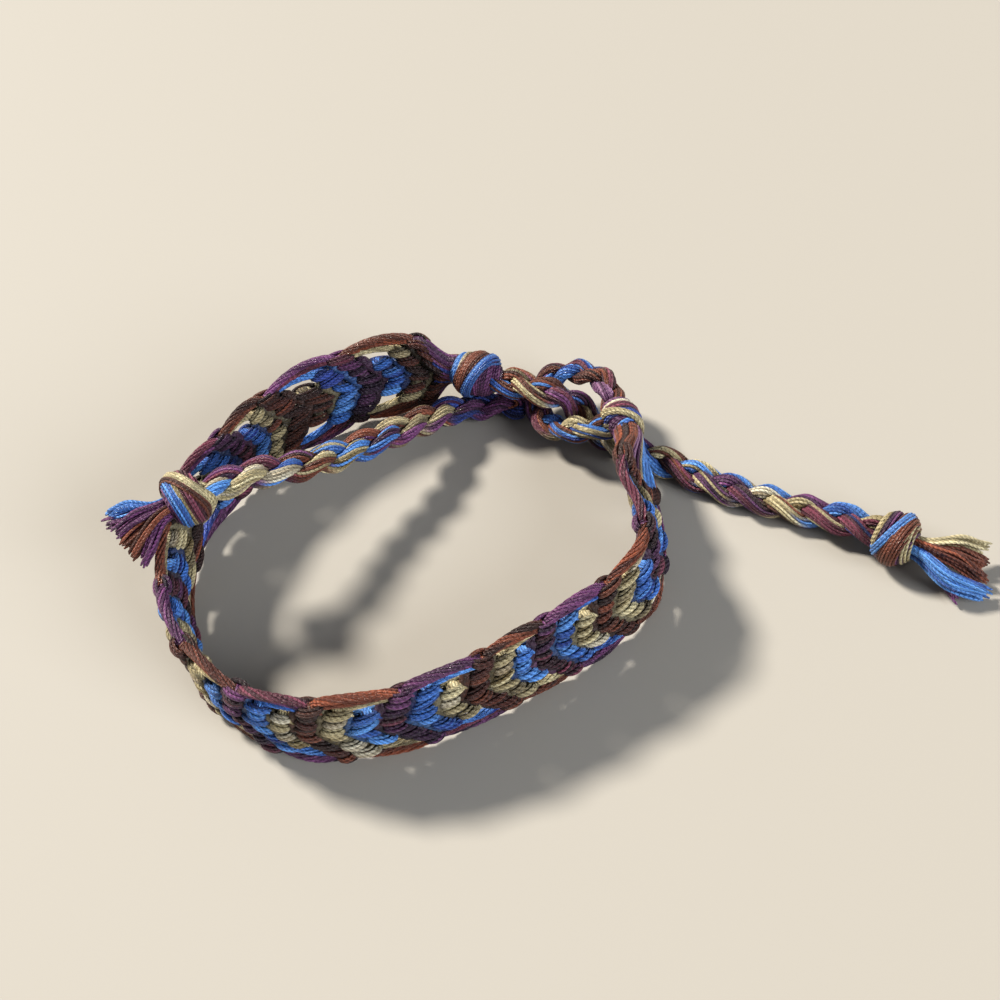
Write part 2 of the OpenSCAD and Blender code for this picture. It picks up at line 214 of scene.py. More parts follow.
def sampled(curve, places):
    """The curve's columns at given distances, running on straight past its two ends."""
    s = measured(curve)
    out = np.stack([np.interp(places, s, column) for column in curve.T], axis=1)
    first, last = curve[0] - curve[1], curve[-1] - curve[-2]
    out += np.maximum(-places, 0)[:, None] * first / np.linalg.norm(first[:3])
    out += np.maximum(places - s[-1], 0)[:, None] * last / np.linalg.norm(last[:3])
    return out


# A thread is this many-sided, its plies turn by this many radians in a millimetre, and its ends
# are this share of its thickness
THREAD_SIDES = 6
THREAD_TWIST = 4.2
THREAD_TIP = 0.55


class Floss:
    """Threads in one mesh, each point with its dye times any painted shade, and its place in the
    thread.
    """

    def __init__(self):
        self.points, self.quads, self.ends, self.shades, self.lies = [], [], [], [], []
        self.count = 0

    def thread(self, paths, radius, level, shades, sides=THREAD_SIDES):
        """Sweeps round threads along paths, an array of threads by points by three. level is a
        direction that no thread runs along, and shades holds a colour for each point."""
        paths = np.asarray(paths, float)
        m, n, _ = paths.shape
        ahead = unit(np.gradient(paths, axis=1))
        side = unit(np.cross(ahead, np.broadcast_to(level, paths.shape)))
        up = np.cross(side, ahead)
        r = np.broadcast_to(radius, (m, n)).copy()
        r[:, 0] *= THREAD_TIP
        r[:, -1] *= THREAD_TIP
        along = np.linalg.norm(np.diff(paths, axis=1), axis=2).cumsum(axis=1)
        along = np.concatenate([np.zeros((m, 1)), along], axis=1)
        a = np.arange(sides) * 2 * math.pi / sides
        ring = side[:, :, None] * np.cos(a)[:, None] + up[:, :, None] * np.sin(a)[:, None]
        points = paths[:, :, None] + ring * r[:, :, None, None]
        turned = a + THREAD_TWIST * along[:, :, None]
        lie = np.stack([np.broadcast_to(along[:, :, None], turned.shape),
                        np.cos(turned), np.sin(turned)], axis=-1)
        index = self.count + np.arange(m * n * sides).reshape(m, n, sides)
        here, after = index, np.roll(index, -1, axis=2)
        quads = np.stack([here[:, :-1], after[:, :-1], after[:, 1:], here[:, 1:]], axis=-1)
        self.quads.append(quads.reshape(-1, 4))
        self.ends.append(np.concatenate([index[:, 0, ::-1], index[:, -1]]))
        self.points.append(points.reshape(-1, 3))
        self.lies.append(lie.reshape(-1, 3))
        shades = np.broadcast_to(np.asarray(shades, float), (m, n, 3))
        self.shades.append(np.repeat(shades[:, :, None], sides, axis=2).reshape(-1, 3))
        self.count += m * n * sides

    def mesh(self, name):
        """One mesh, in metres, with the dye (painted shade included) and the place in the thread
        as attributes.
        """
        points = np.vstack(self.points) * MM
        faces = self.quads + self.ends
        corners = np.concatenate([f.ravel() for f in faces])
        sizes = np.concatenate([np.full(len(f), f.shape[1]) for f in faces])
        mesh = bpy.data.meshes.new(name)
        mesh.vertices.add(len(points))
        mesh.vertices.foreach_set("co", points.ravel().astype(np.float32))
        mesh.loops.add(len(corners))
        mesh.loops.foreach_set("vertex_index", corners.astype(np.int32))
        mesh.polygons.add(len(sizes))
        starts = np.concatenate([[0], np.cumsum(sizes)[:-1]])
        mesh.polygons.foreach_set("loop_start", starts.astype(np.int32))
        mesh.polygons.foreach_set("use_smooth", np.ones(len(sizes), bool))
        mesh.update(calc_edges=True)
        mesh.validate()
        shades = np.hstack([np.vstack(self.shades), np.ones((len(points), 1))])
        dye = mesh.attributes.new("dye", "FLOAT_COLOR", "POINT")
        dye.data.foreach_set("color", shades.ravel().astype(np.float32))
        lie = mesh.attributes.new("lie", "FLOAT_VECTOR", "POINT")
        lie.data.foreach_set("vector", np.vstack(self.lies).ravel().astype(np.float32))
        return mesh


class Socket:
    """An output of a shader node that can stand in a Python sum."""

    def __init__(self, finish, output):
        self.finish = finish
        self.output = output

    def _sum(self, operation, *terms):
        return self.finish.node("ShaderNodeMath", {"operation": operation}, dict(enumerate(terms)))

    def __add__(self, other):
        return self._sum("ADD", self, other)

    def __radd__(self, other):
        return self._sum("ADD", other, self)

    def __mul__(self, other):
        return self._sum("MULTIPLY", self, other)

    def __rmul__(self, other):
        return self._sum("MULTIPLY", other, self)

    def __abs__(self):
        return self._sum("ABSOLUTE", self)


class Finish:
    """A material whose nodes are added one call at a time."""

    def __init__(self, name):
        self.material = bpy.data.materials.new(name)
        self.material.use_nodes = True
        self.tree = self.material.node_tree
        self.tree.nodes.clear()

    def node(self, kind, settings, sockets, output=0):
        """Adds a node with its settings and its sockets' values or links, and gives an output."""
        made = self.tree.nodes.new(kind)
        for name, value in settings.items():
            setattr(made, name, value)
        for name, value in sockets.items():
            if isinstance(value, Socket):
                self.tree.links.new(value.output, made.inputs[name])
            else:
                made.inputs[name].default_value = value
        return Socket(self, made.outputs[output])

    def surface(self, sockets):
        """Ends the material with its shader."""
        shader = self.node("ShaderNodeBsdfPrincipled", {}, sockets)
        out = self.tree.nodes.new("ShaderNodeOutputMaterial")
        self.tree.links.new(shader.output, out.inputs["Surface"])
        return self.material


# The thread's plies, how its fibres are drawn out along it, and how deep both stand in metres
PLIES = 3
FIBRE_DRAW = (0.5, 3.2, 3.2)
RELIEF = 0.00014


def floss_finish(name):
    """Mercerised cotton: three plies twisted together, fine fibres along them, a soft sheen."""
    finish = Finish(name)
    dye = finish.node("ShaderNodeAttribute", {"attribute_name": "dye"}, {})
    lie = finish.node("ShaderNodeAttribute", {"attribute_name": "lie"}, {}, 1)
    across = finish.node("ShaderNodeSeparateXYZ", {}, {0: lie}, 1)
    height = finish.node("ShaderNodeSeparateXYZ", {}, {0: lie}, 2)
    angle = finish.node("ShaderNodeMath", {"operation": "ARCTAN2"}, {0: height, 1: across})
    lobe = finish.node("ShaderNodeMath", {"operation": "COSINE"}, {0: angle * (PLIES / 2)})
    stretched = finish.node("ShaderNodeVectorMath", {"operation": "MULTIPLY"},
                            {0: lie, 1: FIBRE_DRAW})
    fibres = finish.node("ShaderNodeTexNoise", {},
                         {"Vector": stretched, "Scale": 2.4, "Detail": 4.0})
    mottle = finish.node("ShaderNodeTexNoise", {}, {"Vector": lie, "Scale": 0.7, "Detail": 1.0})
    # The ply lobes lighten each ply's crest and darken the creases between plies: painted shade in
    # the colour, besides the bump
    tone = 0.06 + fibres * 0.62 + mottle * 0.4 + abs(lobe) * 0.48
    colour = finish.node("ShaderNodeVectorMath", {"operation": "SCALE"}, {0: dye, "Scale": tone})
    relief = abs(lobe) * 0.7 + fibres * 0.5
    normal = finish.node("ShaderNodeBump", {},
                         {"Strength": 0.9, "Distance": RELIEF, "Height": relief})
    return finish.surface({
        "Base Color": colour, "Roughness": 0.36 + fibres * 0.2, "Normal": normal,
        "Sheen Weight": 0.06, "Sheen Roughness": 0.4, "Specular IOR Level": 0.75})


def lay(name, mesh, material, node):
    """Puts a finished piece in the scene, in place of its solid."""
    mesh.materials.append(material)
    piece = bpy.data.objects.new(name, mesh)
    bpy.context.scene.collection.objects.link(piece)
    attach(piece, "root")
    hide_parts(node)


# The threads of one strand. The first half of them has one run of dyes and the second half
# another, but for the strays, which lie among the other half. They wind once round the strand
# in THREAD_TURN, and run into the knots at both ends.
THREADS = 14
STRAYS = (2, 11)
THREAD_R = 0.17
THREAD_PLUMP = 1.06
THREAD_STEP = 0.42
THREAD_TURN = 22
THREAD_WANDER = 0.05
THREAD_IN = 0.1
RUN_IN = 1.4
# A thread pressed in between two strands gets painted shade, for the crevice between them: how
# near to the strand's middle it has to be, as a share, and how dark the painted shade is there
PRESSED = 0.45
PRESSED_PAINTED_SHADE = 0.42


def strand_at(s, k):
    """Where strand k stands in the braid's section, sideways and up."""
    a = 2 * math.pi * (s / PLAIT + k / 3)
    return np.stack([SWING * np.sin(a), DIP * np.sin(2 * a)], axis=-1)


def strand_reach(s, k, d):
    """How far strand k reaches toward d, up to the halfway plane to each neighbour."""
    here = strand_at(s, k)
    reach = np.full(len(s), STRAND_R)
    for m in (1, 2):
        other = strand_at(s, k + m) - here
        apart = np.linalg.norm(other, axis=-1)
        facing = (other * d).sum(axis=-1)
        limit = (apart**2 - 0.3 * GAP * apart) / 2 / np.maximum(facing, 1e-3)
        reach = np.where(facing > 0, np.minimum(reach, limit), reach)
    return reach


def braid_strand(floss, rows, k, size, strings):
    """The threads of one strand. strings are the dyes of its two halves, as dyed() takes them."""
    rows = [(x * HALF_W, y * HALF_D, LIE_Z + z * BAND_W) for x, y, z in rows]
    curve = smooth(rows)
    long = measured(curve)[-1]
    s = np.linspace(-RUN_IN, long + RUN_IN, int(long / THREAD_STEP) + 1)
    path = sampled(curve, s)
    ahead = unit(np.gradient(path, axis=0))
    side = unit(np.stack([ahead[:, 1], -ahead[:, 0], 0 * s], axis=1))
    up = np.cross(side, ahead)
    paths, shades = [], []
    for j in range(THREADS):
        a = 2 * math.pi * (j / THREADS + s / THREAD_TURN) + k
        d = np.stack([np.cos(a), np.sin(a)], axis=-1)
        out = np.maximum(strand_reach(s / size, k, d) * size - THREAD_R, THREAD_IN)
        q = strand_at(s / size, k) * size + d * out[:, None]
        wander = THREAD_WANDER * np.sin(s * 1.7 + chance.uniform(0, 6))
        q = q + d * wander[:, None]
        paths.append(path - side * q[:, :1] + up * q[:, 1:])
        first = (j < THREADS / 2) != (j in STRAYS)
        # Painted shade: threads pressed into the crevices between strands are darkened
        free = np.clip((out / (STRAND_R * size - THREAD_R) - PRESSED) / PRESSED, 0, 1)
        shade = PRESSED_PAINTED_SHADE + (1 - PRESSED_PAINTED_SHADE) * free
        shades.append(dyed(strings[0 if first else 1], s, j) * shade[:, None])
    floss.thread(paths, THREAD_R * THREAD_PLUMP, up, shades)


floss_look = floss_finish("floss")
# Each strand's route, its place in the plait, its size and the dyes of its two halves
BRAIDS = {
    "loop_strand_1": (LOOP_ROUTE, 0, LOOP_SHARE, [
        [(0, "mauve"), (4, "blue"), (9.4, "plum"), (14.7, "brown"), (20, "straw")],
        [(0, "plum"), (4, "wine"), (9.4, "blue"), (14.7, "wine"), (20, "olive")]]),
    "loop_strand_2": (LOOP_ROUTE, 1, LOOP_SHARE, [
        [(0, "wine"), (5.8, "blue"), (11.2, "brown"), (16.5, "blue"), (21.8, "straw")],
        [(0, "brown"), (5.8, "blue"), (11.2, "plum"), (16.5, "navy"), (21.8, "blue")]]),
    "loop_strand_3": (LOOP_ROUTE, 2, LOOP_SHARE, [
        [(0, "rust"), (7.6, "brown"), (13, "plum"), (18.3, "blue")],
        [(0, "brown"), (7.6, "wine"), (13, "wine"), (18.3, "brown")]]),
    "right_tie_strand_1": (RIGHT_TIE_ROUTE, 0, 1, [
        [(0, "brown"), (4.8, "plum"), (11, "straw"), (17.4, "blue"), (30, "plum"), (42.6, "wine")],
        [(0, "olive"), (4.8, "wine"), (11, "olive"), (17.4, "blue"), (23.6, "straw"),
         (30, "wine"), (36.2, "straw"), (42.6, "navy")]]),
    "right_tie_strand_2": (RIGHT_TIE_ROUTE, 1, 1, [
        [(0, "straw"), (6.8, "blue"), (13.1, "olive"), (19.4, "straw"), (32, "blue"),
         (38.4, "wine")],
        [(0, "brown"), (6.8, "plum"), (13.1, "cream"), (19.4, "brown"), (25.8, "plum"),
         (32, "cream"), (38.4, "straw")]]),
    "right_tie_strand_3": (RIGHT_TIE_ROUTE, 2, 1, [
        [(0, "blue"), (9, "straw"), (15.3, "blue"), (21.6, "brown"), (27.9, "blue"),
         (34.2, "straw"), (40.5, "blue")],
        [(0, "brown"), (15.3, "plum"), (21.6, "wine"), (27.9, "plum"), (34.2, "brown"),
         (40.5, "blue")]]),
    "left_tie_strand_1": (LEFT_TIE_ROUTE, 0, 1, [
        [(0, "plum"), (17.4, "brown"), (23.6, "straw"), (30, "plum"), (36.2, "blue")],
        [(0, "plum"), (4.8, "navy"), (11, "olive"), (17.4, "plum"), (23.6, "brown"),
         (30, "wine"), (36.2, "cream")]]),
    "left_tie_strand_2": (LEFT_TIE_ROUTE, 1, 1, [
        [(0, "navy"), (6.8, "plum"), (13.1, "olive"), (19.4, "blue"), (25.8, "plum"),
         (32, "straw")],
        [(0, "navy"), (6.8, "olive"), (13.1, "brown"), (19.4, "straw"), (25.8, "brown"),
         (32, "cream")]]),
    "left_tie_strand_3": (LEFT_TIE_ROUTE, 2, 1, [
        [(0, "navy"), (9, "brown"), (15.3, "plum"), (21.6, "straw"), (27.9, "cream"),
         (34.2, "plum")],
        [(0, "plum"), (9, "olive"), (15.3, "blue"), (34.2, "wine")]]),
}
# The left tie leaves the end knot with the right tie, and folds back under it
FOLD = [(12.9, 18.7, 5.7), (14.3, 17.7, 5.1), (15.5, 17.3, 4.1), (15.9, 17.4, 2.8),
        (15.2, 17.7, 1.8), (13.9, 18.1, 1.7)]
FOLD_STRINGS = 14
FOLD_R = 0.95
FOLD_PLUMP = 1.1
FOLD_LEVEL = (0.3, 1, 0.1)


def folded(floss):
    """The strings between the end knot and the start of the left tie's braid."""
    path = smooth(FOLD, 6)
    for j in range(FOLD_STRINGS):
        a, r = 2.4 * j, FOLD_R * math.sqrt((j + 0.5) / FOLD_STRINGS)
        turn = a + 0.5 * np.linspace(0, 1, len(path))
        ahead = unit(np.gradient(path, axis=0))
        side = unit(np.cross(ahead, FOLD_LEVEL))
        up = np.cross(side, ahead)
        strand = path + r * np.cos(turn)[:, None] * side + r * np.sin(turn)[:, None] * up
        dye = "plum" if j % 4 else "brown"
        floss.thread([strand], THREAD_R * FOLD_PLUMP, [FOLD_LEVEL], [plain(dye, len(path))])


for name, (rows, k, size, strings) in BRAIDS.items():
    floss = Floss()
    braid_strand(floss, rows, k, size, strings)
    if name == "left_tie_strand_3":
        folded(floss)
    lay("floss_" + name, floss.mesh("floss_" + name), floss_look, name)

# The band: one flat macrame strip, knotted row by row in slanting half hitches that meet at the
# middle, with the outer strings left floating in a scallop along both edges, and an opening
# between each float and the knots. It gathers into the knots at its two ends.
# Columns: where it runs, in halves of the opening, how far it leans out in degrees, how its rows
# are skewed, and how far it has risen to the knot
BAND_ROUTE = [
    (1.005, 0.258, 8, 0, 1), (1.0, 0.10, 18, 0, 0.4), (0.98, -0.12, 18, 0.1, 0),
    (0.975, -0.34, 10.5, 0.1, 0), (0.905, -0.57, 3.5, 0.2, 0), (0.715, -0.725, 3, 0.2, 0),
    (0.46, -0.845, 3, 0.2, 0), (0.18, -0.95, 2, 0.2, 0), (-0.12, -1.01, 2, 0.2, 0),
    (-0.42, -0.985, 2, 0.2, 0), (-0.68, -0.84, 3, 0.2, 0), (-0.87, -0.58, 1, 0.2, 0),
    (-0.965, -0.26, 0, 0.1, 0), (-0.965, 0.08, 2, 0, 0), (-0.885, 0.40, 2, 0, 0),
    (-0.72, 0.62, 0, 0, 0), (-0.50, 0.82, -4, 0, 0), (-0.25, 0.95, -7, 0, 0),
    (0.00, 1.0, -8, 0, 0), (0.18, 0.985, -6, 0, 0.4), (0.33, 0.94, 0, 0, 1)]
# The knots at the band's two ends, which it rises to
START_KNOT_R = 2.1
START_KNOT_Z = 2 * (DIP + STRAND_R) + START_KNOT_R + 3 * GAP
END_KNOT_R = 2.7
END_KNOT_Z = 2 * (DIP + STRAND_R) + END_KNOT_R + 3 * GAP
# A float's thickness, the lengths over which the band gathers at its two ends, its width and
# how many times as thick it is where it goes into the knots, and the floats along each edge
FLOAT_T = 1.3
HEAD_LEN = 5.8
TAIL_LEN = 3.6
HEAD_W = 3.8
NECK = 1.7
ARCS = 14
BAND_SAMPLES = 600
# How far the notch after each arc lies ahead of an even spacing, in millimetres
ARC_SHIFTS = [0, 0.8, 0.6, -0.7, -2.5, -2.8, -2.6, -3.5, -3.7, -3.8, -2.5, 0, -1.6, -0.5, 0]
band_curve = smooth([(x * HALF_W, y * HALF_D, 0, *rest) for x, y, *rest in BAND_ROUTE])
BAND_LEN = measured(band_curve)[-1]
CELL = (BAND_LEN - HEAD_LEN - TAIL_LEN) / ARCS
band_s = np.linspace(0, BAND_LEN, BAND_SAMPLES)
band_rows = sampled(band_curve, band_s)
band_ahead = unit(np.gradient(band_rows[:, :3], axis=0))


def spread(s):
    """Share of the way to the band's full form, as it gathers toward the knots."""
    t = np.clip(np.minimum(s / HEAD_LEN, (BAND_LEN - s) / TAIL_LEN), 0, 1)
    return t * t * (3 - 2 * t)


def band_at(s, across, inward):
    """Points at distances along the band, across it and inward from its middle. Distances are
    those of evenly spaced arcs, so they are shifted to where the arcs really are."""
    s, across, inward = np.broadcast_arrays(s, across, inward)
    s = s + np.interp((s - HEAD_LEN) / CELL, np.arange(ARCS + 1), ARC_SHIFTS)
    x, y, _, lean, skew, rise = [np.interp(s, band_s, column) for column in band_rows.T]
    ahead = unit(np.stack([np.interp(s, band_s, c) for c in band_ahead.T], axis=-1))
    past = np.minimum(s, 0) + np.maximum(s - BAND_LEN, 0)
    lean = np.radians(lean)
    low = BAND_W / 2 * np.cos(lean) + FLOAT_T / 2 * np.abs(np.sin(lean))
    away = np.stack([ahead[..., 1], -ahead[..., 0], 0 * s], axis=-1)
    high = np.array([0, 0, 1.0])
    up = high * np.cos(lean)[..., None] + away * np.sin(lean)[..., None] + ahead * skew[..., None]
    thick = away * np.cos(lean)[..., None] - high * np.sin(lean)[..., None]
    knot_z = np.where(s < BAND_LEN / 2, START_KNOT_Z, END_KNOT_Z)
    middle = np.stack([x, y, low + (knot_z - low) * rise], axis=-1) + ahead * past[..., None]
    full = spread(s)
    across = across * (HEAD_W / BAND_W + (1 - HEAD_W / BAND_W) * full)
    inward = inward * (NECK + (1 - NECK) * full)
    return middle + up * across[..., None] + thick * inward[..., None]


# The rows of knots, three to each float: their dyes, how far from the band's middle their knots
# and their ends are, the ends and radius of the strings inside them, and how a row slants
ROW_DYES = ["brown", "straw", "blue", "plum", "blue", "straw"]
ROW_BEADS = [(0.7, 2.1, 3.4, 4.5), (0.7, 2.1), (0.7, 2.1, 3.4)]
ROW_ENDS = [4.9, 2.8, 4.1]
CARRIER_ENDS = [4.5, 3.7, 2.6, 2.4, 3.5, 4.2]
CARRIER_R = 0.62
ROW_STEP = CELL / 3
ROW_SLOPE = 0.58
ROW_EDGE = 4.8
# One knot: its length, its threads and the step between them, their radius and its tilt
BEAD_LEN = 2.4
BEAD_THREADS = (-2, -1, 0, 1, 2)
BEAD_STEP = 0.28
BEAD_R = 0.17
BEAD_TILT = 0.55
# It stands out by BEAD_RISE from BEAD_BASE, and its outer threads are lower and shorter, and
# darkened by painted shade
BEAD_BASE = 0.16
BEAD_RISE = 0.80
OUTER_LOWER = 0.095
OUTER_SHORTER = 0.055
OUTER_PAINTED_SHADE = 0.09
# How unevenly the knots were pulled
SIZE_SPREAD = 0.10
TILT_SPREAD = 0.20
LIFT_SPREAD = 0.10
ASIDE_SPREAD = 0.09
# The turns of string over a row's end: radius, step, and their reach across and through
WRAP_R = 0.165
WRAP_STEP = 0.3
WRAP_HALVES = (0.55, 0.62)
# A direction that no string of the band runs along
BAND_LEVEL = [(0.31, 0.17, 0.9)]
# Past the far side of the ring the dyes are deeper, painted shade for that side of the band, and
# the last row is brown near its middle
BACK_ROW = 31
PAINTED_SHADE_BACK_DYES = {"straw": "olive", "blue": "royal"}
# How deep a dye is in the knots, where that differs: 0 is its brightest and 1 its darkest
BEAD_DEPTHS = {"brown": 0.88, "rust": 1.0, "plum": 0.72, "wine": 0.8, "straw": 0.6,
               "cream": 0.7, "blue": 0.42}
BEAD_DEPTH = 0.36
BEAD_DEPTH_SPREAD = 0.24
# The thread is variegated, so a string varies between near dyes from knot to knot
KIN = {
    "straw": ("straw", "cream", "straw", "olive"), "blue": ("blue", "blue", "royal"),
    "plum": ("plum", "plum", "wine"), "brown": ("brown", "brown", "rust"),
    "olive": ("olive", "olive", "straw", "brown"), "royal": ("royal", "blue", "navy")}


def varied(dye):
    """One of the dyes near to a dye."""
    return KIN[dye][chance.integers(len(KIN[dye]))]


def row_dye(row, place=5.0):
    """The dye of a row of knots, at a distance from the band's middle."""
    if row == 3 * ARCS - 1 and place < 3:
        return "brown"
    dye = ROW_DYES[row % 6]
    # Painted shade: rows past the far side of the ring take deeper dyes
    return PAINTED_SHADE_BACK_DYES.get(dye, dye) if row >= BACK_ROW else dye


def row_at(row, place):
    """Distance along the band of a row of knots, at a distance from the band's middle."""
    return HEAD_LEN + row * ROW_STEP + ROW_SLOPE * (ROW_EDGE - place)


def beads(floss, face):
    """The knots of one face: five threads side by side over each, in two mirrored wings."""
    u = np.linspace(-1, 1, 10)
    bow = np.sqrt(np.clip(1 - (u * 0.98) ** 2, 0, 1))
    slant = 1 / math.hypot(1, ROW_SLOPE)
    paths, shades = [], []
    for row in range(3 * ARCS + 1):
        for wing in (1, -1):
            for place in ROW_BEADS[row % 3]:
                dye = varied(row_dye(row, place))
                size = chance.normal(1, SIZE_SPREAD)
                tilt = BEAD_TILT + chance.normal(0, TILT_SPREAD)
                lift = chance.normal(0, LIFT_SPREAD)
                deep = chance.normal(BEAD_DEPTHS.get(dye, BEAD_DEPTH), BEAD_DEPTH_SPREAD)
                aside_by = chance.normal(0, ASIDE_SPREAD)
                for j in BEAD_THREADS:
                    ahead = u * BEAD_LEN / 2 * size * (1 - OUTER_SHORTER * j * j)
                    aside = j * BEAD_STEP * (0.72 + 0.28 * bow) + tilt * ahead + aside_by
                    s = row_at(row, place) + (ahead + aside * ROW_SLOPE) * slant
                    w = place + (ahead * ROW_SLOPE - aside) * slant
                    inward = BEAD_BASE + (BEAD_RISE + lift - OUTER_LOWER * j * j) * bow
                    paths.append(band_at(s, wing * w, face * inward))
                    # Painted shade: each thread darkens toward its ends, where it dives under its
                    # neighbours, and outer threads more
                    shade = (0.16 + 0.84 * bow) * (1 - OUTER_PAINTED_SHADE * j * j)
                    shades.append(plain(dye, len(u), deep) * shade[:, None])
    level = band_at(20, 6, 0) - band_at(20, 0, 0)
    floss.thread(paths, BEAD_R, [level], shades)


def carriers(floss):
    """The strings that run inside the knots, and what closes the band between its two faces,
    painted dark as the shade in the gaps between the knots.
    """
    u = np.linspace(0, 1, 8)
    for half in range(6 * ARCS + 2):
        end = CARRIER_ENDS[half % 6]
        for wing in (1, -1):
            w = end - (end + 0.5) * u
            path = band_at(row_at(half / 2, w), wing * w, 0 * w)
            # Painted shade: these strings are darkened to 0.3 of their dye
            shades = plain(row_dye(half // 2), len(u), 0.6, 0.3)
            floss.thread([path], CARRIER_R, BAND_LEVEL, [shades], sides=7)


def edge_wraps(floss):
    """Turns of string over the end of every row, from one face to the other."""
    turn = np.linspace(-1.1, 1.1, 9) * math.pi / 2
    paths, shades = [], []
    for row in range(3 * ARCS + 1):
        end = ROW_ENDS[row % 3]
        for wing in (1, -1):
            for j in (-1.5, -0.5, 0.5, 1.5) if row % 3 == 0 else BEAD_THREADS:
                w = end - 0.7 - 0.05 * j * j + WRAP_HALVES[0] * np.cos(turn)
                s = row_at(row, end) + j * WRAP_STEP + 0.25 * turn
                paths.append(band_at(s, wing * w, WRAP_HALVES[1] * np.sin(turn)))
                shades.append(plain(row_dye(row), len(turn)))
    floss.thread(paths, WRAP_R, BAND_LEVEL, shades)


# The two strings of a float go from notch to notch, then down along the row that they become.
# The inner string crosses the opening. Columns: share of the cell, distance from the middle
FLOAT_PATH = [(-0.07, 3.9), (0.03, 4.45), (0.15, 4.85), (0.33, 5.15), (0.5, 5.25), (0.67, 5.2),
              (0.83, 5.0), (0.93, 4.7), (0.985, 4.25), (1.015, 3.75), (1.03, 3.2)]
INNER_PATH = [(0.0, 4.05), (0.15, 4.3), (0.35, 4.4), (0.52, 4.2), (0.66, 3.8), (0.8, 3.1)]
# Where the strings of one float stand across it, and half the width and thickness of a string
FLOAT_STRINGS = (-0.30, 0.30)
FLOAT_HALVES = (0.25, 0.36)
INNER_HALVES = (0.27, 0.34)
FLOAT_THREADS = 6
FLOAT_TWIST = 8
FLOAT_WANDER = 0.12
FLOAT_DEPTH = 0.42
FLOAT_DEPTH_SPREAD = 0.16


def floats(floss):
    """Both strings of each float, loose from one notch to the next along both edges, and the
    single string inside them."""
    for cell in range(ARCS):
        outer, inner = (("plum", "blue"), ("brown", "straw"))[cell % 2]
        # Painted shade: floats past the far side of the ring take deeper dyes
        if 3 * cell + 2 >= BACK_ROW:
            inner = PAINTED_SHADE_BACK_DYES[inner]
        for wing in (1, -1):
            for rows, dye, places, (wide, thick) in (
                    (FLOAT_PATH, outer, FLOAT_STRINGS, FLOAT_HALVES),
                    (INNER_PATH, inner, (0,), INNER_HALVES)):
                path = smooth(rows, 3)
                s = HEAD_LEN + (cell + path[:, 0]) * CELL
                crest = 0.55 + 0.45 * np.sin(math.pi * np.clip(path[:, 0], 0, 1))
                for place in places:
                    deep = chance.normal(FLOAT_DEPTH, FLOAT_DEPTH_SPREAD)
                    shade = varied(dye)
                    spin = chance.uniform(0, 6)
                    wander = FLOAT_WANDER * np.sin(path[:, 0] * 5 + spin)
                    middle = path[:, 1] + crest * place
                    paths, shades = [], []
                    for j in range(FLOAT_THREADS):
                        a = 2 * math.pi * j / FLOAT_THREADS + spin + FLOAT_TWIST * path[:, 0]
                        w = middle + wide * crest * np.cos(a)
                        paths.append(band_at(s, wing * w, wander + thick * np.sin(a)))
                        shades.append(plain(shade, len(s), deep))
                    floss.thread(paths, WRAP_R, BAND_LEVEL, shades)
                    # Painted shade: a dark core inside each float string, seen in the gaps between
                    # its threads
                    core = band_at(s, wing * middle, wander)
                    floss.thread([core], 0.8 * wide, BAND_LEVEL,
                                 [plain(dye, len(s), 0.8, 0.4)], sides=5)


# The dyes of the strings at the two ends, from the band's lower edge to its upper edge
HEAD_FAN = ["brown", "blue", "blue", "blue", "blue", "blue", "blue", "cream", "mauve", "plum",
            "mauve", "rust", "brown", "rust"]
TAIL_FAN = ["plum", "plum", "brown", "plum", "navy", "brown", "plum", "plum", "brown", "plum",
            "navy", "plum", "brown", "plum"]
FAN_W = 9.8
FAN_LAP = 1.6
FAN_ROUND = 5.1
# The fan's layers: the face, how many strings and their radius. The middle one fills it, and
# is darkened as painted shade between the strings.
FAN_LAYERS = [(1, 30, 0.18), (0, 14, 0.42), (-1, 30, 0.18)]


def fans(floss):
    """The strings between the knots and the band's first and last rows."""
    t = np.linspace(0, 1, 14)
    for face, strings, radius in FAN_LAYERS:
        for dyes, last in ((HEAD_FAN, False), (TAIL_FAN, True)):
            for j in range(strings):
                place = ((j + 0.5) / strings - 0.5) * FAN_W
                dye = dyes[int((j + chance.uniform(0, 1)) / strings * len(dyes))]
                rim = ROW_SLOPE * (ROW_EDGE - abs(place))
                if last:
                    s = BAND_LEN - TAIL_LEN + rim - 0.6 + t * (TAIL_LEN - rim + FAN_LAP)
                else:
                    s = -1.0 + t * (HEAD_LEN + rim + FAN_LAP)
                w = place * (1 + 0.03 * np.sin(s * 1.1 + j))
                full = spread(s)
                ripple = 0.2 * np.sin(math.pi * t) * np.cos(j * 2.0)
                round_off = 0.85 * math.sqrt(1 - (place / FAN_ROUND) ** 2)
                inward = face * ((0.45 + ripple) * full + round_off * (1 - full))
                # Painted shade: the middle layer is darkened to 0.4 of its dye
                floss.thread([band_at(s, w, inward)], radius, [(0.02, 0.05, 1)],
                             [plain(dye, len(t), 0.4, 1 if face else 0.4)])


for name, face in (("band_knots_outer", -1), ("band_knots_inner", 1)):
    floss = Floss()
    beads(floss, face)
    lay(name, floss.mesh(name), floss_look, "band")
floss = Floss()
floats(floss)
lay("band_floats", floss.mesh("band_floats"), floss_look, "band")
floss = Floss()
carriers(floss)
edge_wraps(floss)
fans(floss)
lay("band_strings", floss.mesh("band_strings"), floss_look, "band")

